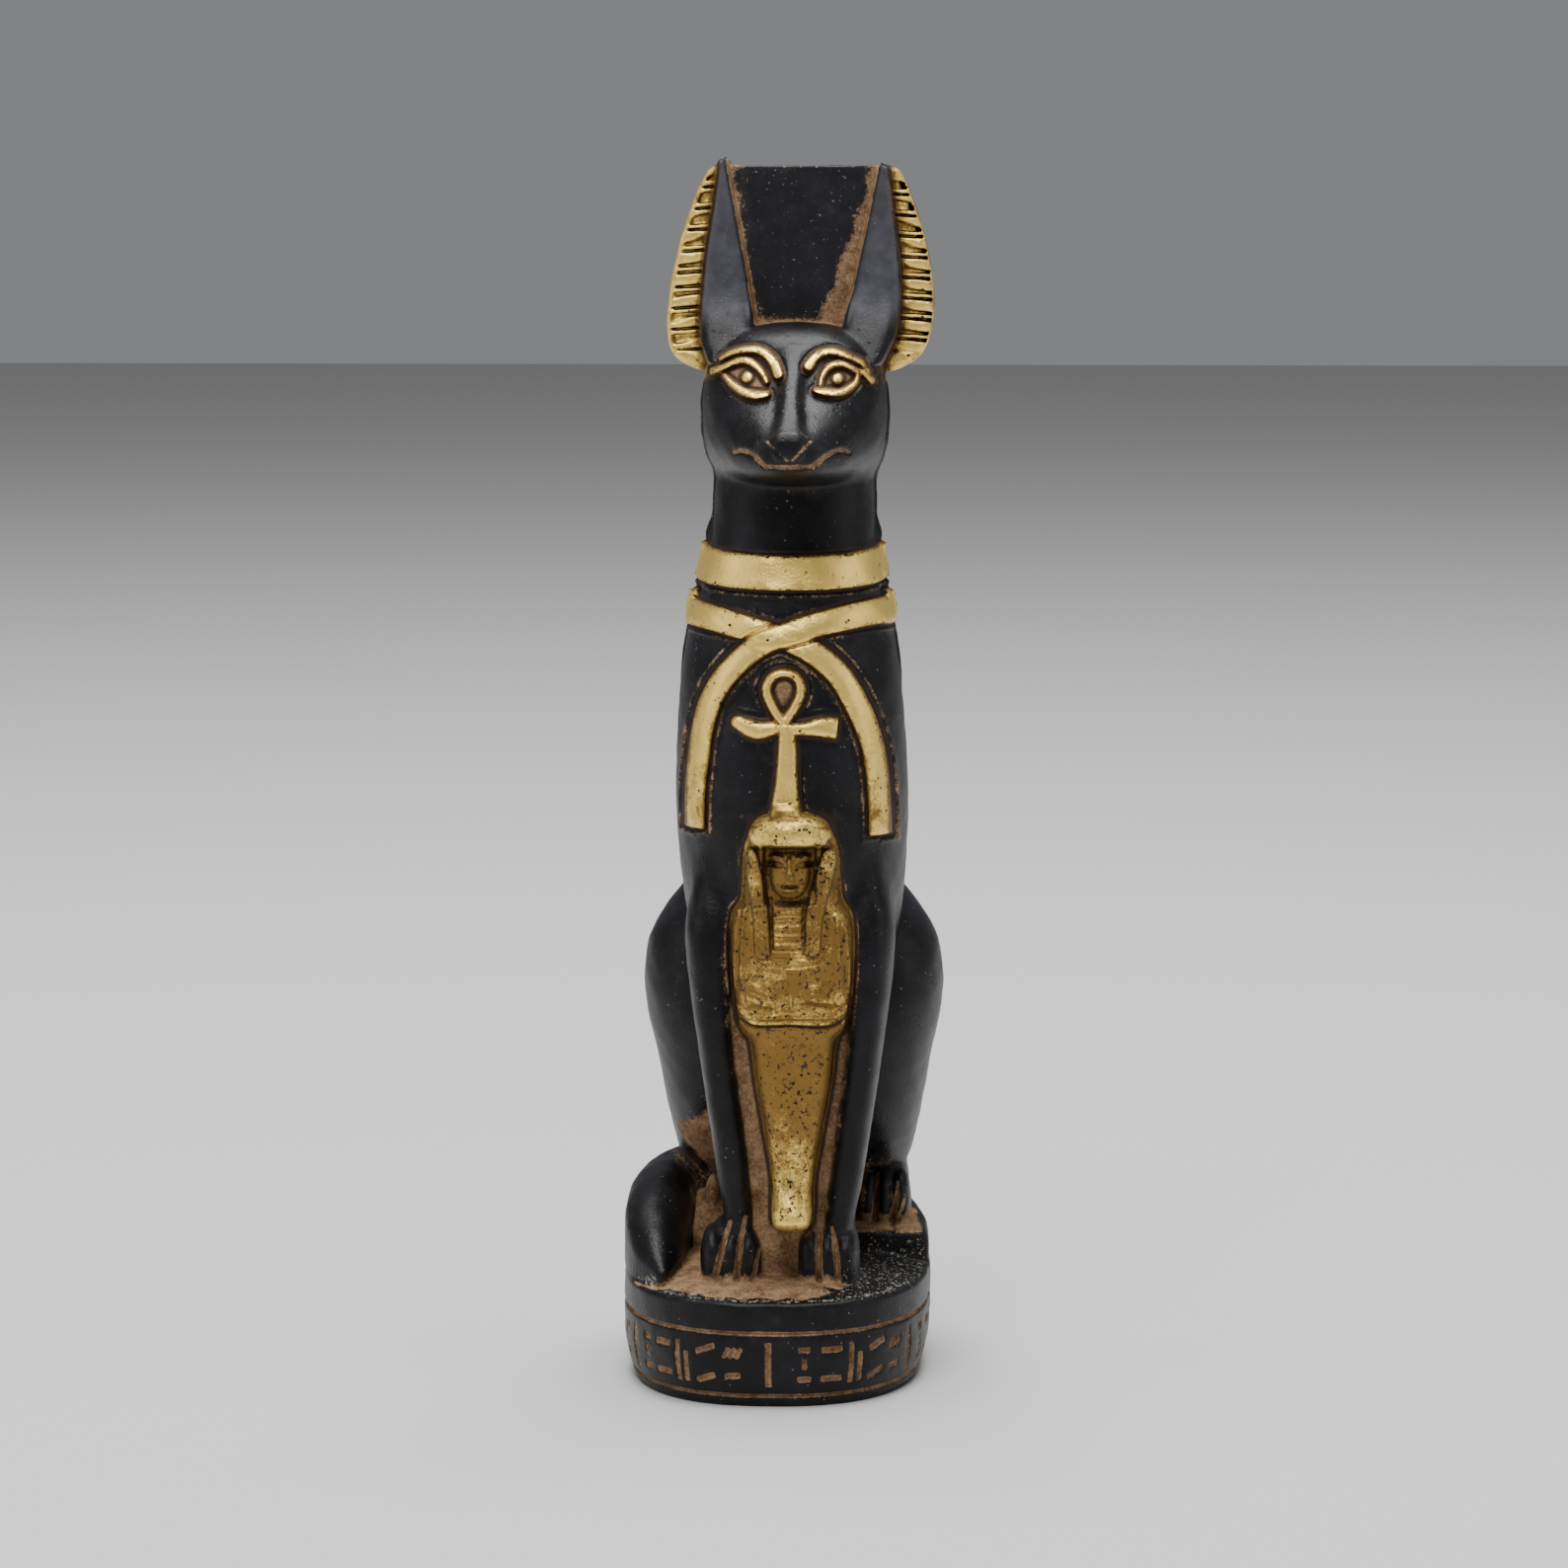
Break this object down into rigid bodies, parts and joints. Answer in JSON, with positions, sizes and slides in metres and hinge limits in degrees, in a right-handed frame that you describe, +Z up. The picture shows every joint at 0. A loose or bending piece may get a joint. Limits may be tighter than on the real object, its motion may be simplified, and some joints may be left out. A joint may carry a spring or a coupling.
{
  "type": "anubis statue",
  "caption": "Small upright seated jackal statue in black cast stone with gilded ears, eyes, collar, crossed sash, looped cross and mummy figure, on an oval base.",
  "frame": {"origin": "middle of the flat underside of the base", "axes": "+Z up through the figure, which faces -Y; +X is to the right for someone looking at its face"},
  "size_m": [0.0525, 0.0705, 0.2],
  "materials": {
    "blackened_stone": "satin black wash on cast stone, worn gold leaf on the raised ornaments, clay-brown dust in the recesses"
  },
  "bodies": {
    "root": {"anubis_statue": "blackened_stone"}
  },
  "joints": []
}
